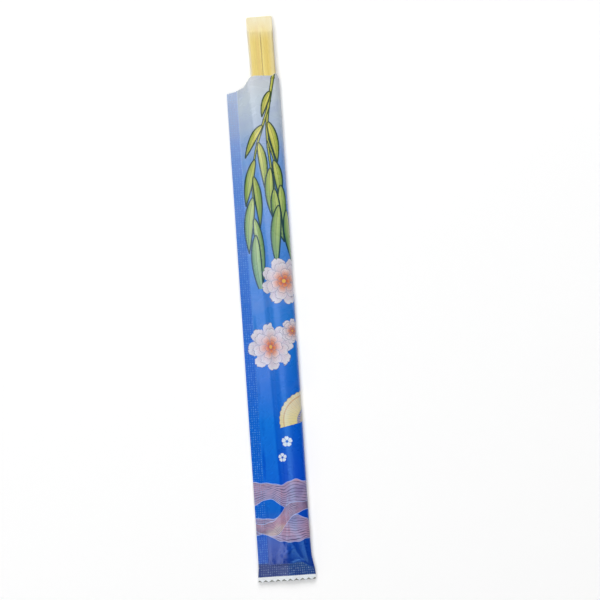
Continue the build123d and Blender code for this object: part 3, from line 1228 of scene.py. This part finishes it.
def print_zone(column, height):
    """Which print an outside face has."""
    if height > LEAF_ZONE:
        return BACK_TWIGS if column >= COLUMNS else UPPER_TWIGS if height > TWIG_ZONE else LOWER_TWIGS
    return BLOOM_ZONE_PRINT if height > BLOOM_ZONE else STREAM_PRINT


# Rows of the pocket's inside: how far the first ones lie behind the mouth, then the steps between the others
MOUTH_ROWS = (0, 1, 2, 4, 7, 12)
FIRST_INNER_ROW = 20
INNER_ROW_STEP = 14
FOOT_ROW_STEP = 2
# Near the mouth and below the tips the inside follows the outside's creases
NEAR_MOUTH_ROWS = 14
BLEND_ROWS = 8


def around(over, under):
    """The rows of both panels as loops: out to the fold over the front, and home under the back."""
    return np.concatenate([over, under[:, :-1][:, ::-1]], axis=1)


def film_mesh():
    """The whole sleeve as one closed mesh: outside, mouth rim, pocket inside and foot edge."""
    loop_out = 2 * COLUMNS + 1
    outside = around(front, back)
    place_across = np.concatenate([across_shares, 2 * FLAT_WIDTH - across_shares[:-1][::-1]])
    points = outside.reshape(-1, 3)
    places = np.zeros_like(points)
    places[:, 0] = np.tile(place_across, ROWS + 1)
    places[:, 1] = points[:, 1] - FOOT_Y
    places[:, 2] = tear_y(points[:, 0]) - points[:, 1]
    side_depth = SIDE_SEAL_WIDTH - np.minimum(places[:, 0], 2 * FLAT_WIDTH - places[:, 0])
    depths = np.maximum(side_depth, foot_seal_top(points[:, 0]) - places[:, 1])
    faces, kinds = [], []

    def add_face(kind, *corners):
        faces.append(corners)
        kinds.append(kind)

    def out_at(row, column):
        return row * loop_out + column

    last_column = loop_out - 1
    for row in range(ROWS):
        for column in range(last_column):
            a, b = out_at(row, column), out_at(row, column + 1)
            add_face(print_zone(column, row_y[row] - FOOT_Y), a, b, b + loop_out, a + loop_out)
        a, b = out_at(row, last_column), out_at(row, 0)
        add_face(BARE_PAPER, a, b, b + loop_out, a + loop_out)
    # Foot edge, dark grey as painted shade, and the sealed strip's edge at the mouth
    for row, columns, turned, kind in ((0, COLUMNS, False, CUT_EDGE_PAINTED_SHADE), (ROWS, SEAL_COLUMNS, True, BARE_PAPER)):
        for column in range(columns):
            a, b = out_at(row, column), out_at(row, column + 1)
            c, d = out_at(row, last_column - 1 - column), out_at(row, last_column - column)
            face = (d, c, b, a) if b != c else (d, b, a)
            add_face(kind, *(face[::-1] if turned else face))
    # Pocket: one film in from the outside, close to it at the mouth, and with fewer rows on plain stretches
    inner_columns = list(range(SEAL_COLUMNS, loop_out - SEAL_COLUMNS))
    plain = around(front_plain, back_plain)
    out_plain = around(outward(front_plain, 1), outward(back_plain, -1))
    lifted = outside - plain
    ridge_row = int(np.searchsorted(row_y, RIDGE_Y + 2.5))
    tips_row = int(np.searchsorted(row_y, TIPS_Y))
    inner_rows = [ROWS - back_by for back_by in MOUTH_ROWS]
    inner_rows += range(ROWS - FIRST_INNER_ROW, tips_row + INNER_ROW_STEP, -INNER_ROW_STEP)
    inner_rows += range(tips_row, ridge_row, -FOOT_ROW_STEP)
    inner_rows.append(ridge_row)
    rings = []
    for row in inner_rows:
        follow = ease((row - ROWS + NEAR_MOUTH_ROWS) / BLEND_ROWS) + ease((tips_row + 2 - row) / BLEND_ROWS)
        ring = plain[row] + lifted[row] * follow - out_plain[row] * FILM
        ring = ring[inner_columns]
        ring[0] = (ring[0] + ring[-1]) / 2
        rings.append(ring[:-1])
    ring_size = len(inner_columns) - 1
    base = len(points)
    points = np.concatenate([points] + rings)
    places = np.concatenate([places, np.zeros((ring_size * len(rings), 3))])
    depths = np.concatenate([depths, np.zeros(ring_size * len(rings))])

    def in_at(ring, number):
        return base + ring * ring_size + number % ring_size

    for number in range(ring_size):
        a, b = out_at(ROWS, inner_columns[number]), out_at(ROWS, inner_columns[number + 1])
        add_face(BARE_PAPER, a, b, in_at(0, number + 1), in_at(0, number))
    add_face(BARE_PAPER, out_at(ROWS, SEAL_COLUMNS), in_at(0, 0), out_at(ROWS, last_column - SEAL_COLUMNS))
    for ring in range(len(rings) - 1):
        for number in range(ring_size):
            a, b = in_at(ring, number), in_at(ring, number + 1)
            add_face(BARE_PAPER, a, b, b + ring_size, a + ring_size)
    last = len(rings) - 1
    for number in range(ring_size // 2):
        pairs = (number, number + 1, ring_size - number - 1, ring_size - number)
        corners = dict.fromkeys(in_at(last, corner) for corner in pairs)
        if len(corners) > 2:
            add_face(BARE_PAPER, *corners)
    return points, places, depths, faces, kinds


film_points, film_places, film_depths, film_faces, film_kinds = film_mesh()
upper_twigs = twigs_in(0, FLAT_WIDTH, TWIG_ZONE, SLEEVE_LENGTH)
lower_twigs = twigs_in(0, FLAT_WIDTH, LEAF_ZONE, TWIG_ZONE)
back_twigs = twigs_in(FLAT_WIDTH, 2 * FLAT_WIDTH, LEAF_ZONE, SLEEVE_LENGTH)
film_materials = (
    make_print("film_print_upper_twigs", upper_twigs),
    make_print("film_print_lower_twigs", lower_twigs, with_first_bloom),
    make_print("film_print_back_twigs", back_twigs, with_first_bloom),
    make_print("film_print_blooms", with_fan, with_blooms),
    make_print("film_print_stream", with_stream),
    make_bare_paper("bare_paper", shade(222, 222, 218), shade(242, 242, 240)),
    # Dark grey cut edge: painted shade for the valleys of the pinked foot
    make_bare_paper("shaded_cut_edge", shade(112, 118, 110), shade(146, 152, 144)),
)
sleeve = new_piece("printed_sleeve", film_points, film_faces, film_materials, film_kinds)
keep_values(sleeve, "film_place", "FLOAT_VECTOR", film_places)
keep_values(sleeve, "seal_depth", "FLOAT", film_depths)
settle_normals(sleeve, 50)


# The chopsticks: one piece at the head, two sticks below it

ARC_STEPS = 5
ARC_POINTS = ARC_STEPS + 1
CONE_START = STICK_LENGTH - TIP_CONE_LENGTH
CONE_CURVE = 1.5
SLIT_FIRST_SHARE = 0.1
SLIT_END = SLIT_START + SLIT_RAMP
SLOPE_SOFTNESS = 0.06
# Stations down the pair: from, to, how many
SPANS = (
    (HEAD_CORNER_RADIUS, SLIT_START, 14),
    (SLIT_START, SLIT_END, 9),
    (SLIT_END, SLIT_END + 6, 7),
    (SLIT_END + 6, CONE_START, 46),
    (CONE_START, STICK_LENGTH, 8),
)
CORNER_STATIONS = 6


def stick_section(station):
    """The right half of the pair's section: its rounded corners, from the outer one below round to the slit's."""
    outer_x, thickness = taper(station)
    rounding = np.clip((station - ROUNDING_START) / (CONE_START - ROUNDING_START), 0, 1)
    parted = blend(SLIT_FIRST_SHARE, 1.0, ease((station - SLIT_START) / SLIT_RAMP))
    outer_radius = blend(OUTER_EDGE_RADIUS, TIP_EDGE_RADIUS, rounding)
    slit_radius = blend(SLIT_EDGE_RADIUS * parted, TIP_EDGE_RADIUS, rounding)
    slit_x = SLIT_WIDTH / 2 * parted
    if station < HEAD_CORNER_RADIUS:
        outer_x -= HEAD_CORNER_RADIUS - (HEAD_CORNER_RADIUS**2 - (HEAD_CORNER_RADIUS - station) ** 2) ** 0.5
    outline = []
    corners = (
        (outer_x, 0, outer_radius, -pi / 2), (outer_x, thickness, outer_radius, 0),
        (slit_x, thickness, slit_radius, pi / 2), (slit_x, 0, slit_radius, pi),
    )
    for corner_x, corner_z, radius, start in corners:
        inward_x = -1 if corner_x == outer_x else 1
        inward_z = 1 if corner_z == 0 else -1
        for angle in np.linspace(start, start + pi / 2, ARC_POINTS):
            outline.append((
                corner_x + inward_x * radius + radius * cos(angle),
                corner_z + inward_z * radius + radius * sin(angle),
            ))
    outline = np.array(outline)
    if station <= SLIT_START:
        flat = np.linspace(SLIT_WIDTH + SLIT_EDGE_RADIUS, 0, ARC_POINTS)
        outline[2 * ARC_POINTS:3 * ARC_POINTS] = np.stack([flat, np.full(ARC_POINTS, thickness)], axis=1)
        outline[3 * ARC_POINTS:] = np.stack([flat[::-1], np.zeros(ARC_POINTS)], axis=1)
    cone = (station - CONE_START) / TIP_CONE_LENGTH
    if cone > 0:
        centre = np.array([(SLIT_WIDTH / 2 + outer_x) / 2, thickness / 2])
        outline = centre + (outline - centre) * blend(1, TIP_END_SHARE, cone**CONE_CURVE)
    # The slope runs out into the flat top in a soft bend
    fall = (thickness - SLOPE_END_THICKNESS) * (1 - station / SLOPE_LENGTH)
    fall = (fall + (fall * fall + SLOPE_SOFTNESS) ** 0.5) / 2
    outline[:, 1] = np.minimum(outline[:, 1], thickness - fall)
    return outline


def pair_mesh():
    """The chopsticks, a half of the pair at a time: skins along the stations, and flat ends."""
    corner = HEAD_CORNER_RADIUS * (1 - np.cos(np.linspace(0, pi / 2, CORNER_STATIONS)))
    spans = [np.linspace(*span) for span in SPANS]
    stations = np.unique(np.concatenate([corner, (SLIT_START + 0.05, SLOPE_LENGTH), *spans]).round(4))
    points, places, faces = [], [], []
    ring = 4 * ARC_POINTS
    slit_wall = 3 * ARC_POINTS - 1
    for side in (-1, 1):
        base = len(points)
        for station in stations:
            for x, z in stick_section(station):
                x *= side
                across = HANDLE_X + x * cos(SKEW) + station * sin(SKEW)
                points.append((across, HEAD_Y + x * sin(SKEW) - station * cos(SKEW), FILM + z))
                places.append((x, station, z))
        for row in range(len(stations) - 1):
            for number in range(ring):
                if number == slit_wall and stations[row + 1] <= SLIT_START:
                    continue
                a, b = base + row * ring + number, base + row * ring + (number + 1) % ring
                faces.append((a, b, b + ring, a + ring))
        for row in (0, len(stations) - 1):
            start = base + row * ring
            middle, end = start + 2 * ARC_POINTS, start + ring
            for number in range(ARC_STEPS):
                for first, last in ((start + number, middle - number), (middle + number, end - number)):
                    faces.append((first, first + 1, last - 2, last - 1))
            faces.append((start, middle - 1, middle, end - 1))
    return points, places, faces


pair_points, pair_places, pair_faces = pair_mesh()
pair = new_piece("bamboo_pair", pair_points, pair_faces, (make_bamboo(),), [0] * len(pair_faces))
keep_values(pair, "stick_place", "FLOAT_VECTOR", pair_places)
settle_normals(pair, 32)

for piece, node, slot in ((sleeve, "sleeve", "printed_film"), (pair, "chopstick_pair", "bamboo")):
    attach(piece, "root")
    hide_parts(node)

# Stage: a white table top and studio. The zenith stays dim, so that the level film shows its own deep colour

FLOOR_HALF = 1.5
FLOOR_DROP = 0.02 * MM
FLOOR_GLOW = 0.14
CEILING_STRENGTH = 0.08
WHITE = (1, 1, 1, 1)
corners = [(x * FLOOR_HALF, y * FLOOR_HALF, -FLOOR_DROP) for x, y in ((-1, -1), (1, -1), (1, 1), (-1, 1))]
floor_mesh = bpy.data.meshes.new("table_top")
floor_mesh.from_pydata(corners, [], [(0, 1, 2, 3)])
floor = placed("table_top", floor_mesh)
floor_material, t, shader = new_material("table_white")
mottle = t.noise(t.read(t.node("ShaderNodeTexCoord")).object, 6.0, 2.0)
rays = t.read(t.node("ShaderNodeLightPath"))
seen = t.most(rays.is_camera_ray, t.most(rays.is_glossy_ray, rays.is_transmission_ray))
t.give(
    shader, base_color=t.mix(mottle, shade(250, 250, 250), shade(253, 253, 253)), roughness=0.9,
    specular_ior_level=0.1, emission_color=WHITE, emission_strength=seen * FLOOR_GLOW,
)
floor_mesh.materials.append(floor_material)

world = bpy.data.worlds.new("studio")
bpy.context.scene.world = world
world.use_nodes = True
world.node_tree.nodes.clear()
t = Tree(world.node_tree)
_, _, height = t.parts(t.read(t.node("ShaderNodeTexCoord")).generated)
rays = t.read(t.node("ShaderNodeLightPath"))
mirrored = rays.is_glossy_ray * t.fall(height, 0.0, 0.03)
seen = t.most(rays.is_camera_ray, t.most(mirrored, rays.is_transmission_ray))
background = t.node("ShaderNodeBackground")
t.give(background, color=WHITE, strength=t.spread(seen, 0, 1, CEILING_STRENGTH, 1.0))
t.give(t.node("ShaderNodeOutputWorld"), surface=t.read(background).background)

# Softboxes: name, azimuth, elevation, distance, width across the view to it, width in elevation, power
SOFTBOXES = (
    ("key_softbox", 0.0, 43.0, 2.4, 1.7, 1.5, 40.0),
    ("left_softbox", -90.0, 70.0, 2.4, 2.2, 1.0, 17.0),
    ("low_left_softbox", -90.0, 28.0, 2.4, 1.6, 0.6, 2.8),
    ("foot_softbox", 180.0, 50.0, 2.4, 1.7, 1.0, 11.0),
)
for name, azimuth, elevation, distance, width, tall, power in SOFTBOXES:
    lamp = bpy.data.lights.new(name, "AREA")
    lamp.shape = "RECTANGLE"
    lamp.size, lamp.size_y = width, tall
    lamp.energy = power
    softbox = placed(name, lamp)
    turn, tilt = radians(azimuth), radians(elevation)
    direction = Vector((sin(turn) * cos(tilt), cos(turn) * cos(tilt), sin(tilt)))
    softbox.location = direction * distance
    softbox.rotation_euler = direction.to_track_quat("Z", "Y").to_euler()

# The photograph's frame: 0.48 mm for each of its 600 pixels, the sleeve's axis leaning left at its top
IMAGE_SIZE = 600
PIXEL = 0.48 * MM
LEAN = radians(3.87)
FRAME_CENTRE = (0.01512, -0.00138)
LENS = 110.0
camera_data = bpy.data.cameras.new("top_camera")
camera_data.lens = LENS
camera = placed("top_camera", camera_data)
camera_height = IMAGE_SIZE * PIXEL * LENS / camera_data.sensor_width
camera.location = (FRAME_CENTRE[0], FRAME_CENTRE[1], camera_height)
camera.rotation_euler = (0, 0, -LEAN)
bpy.context.scene.camera = camera

bpy.context.scene.view_settings.view_transform = "Standard"
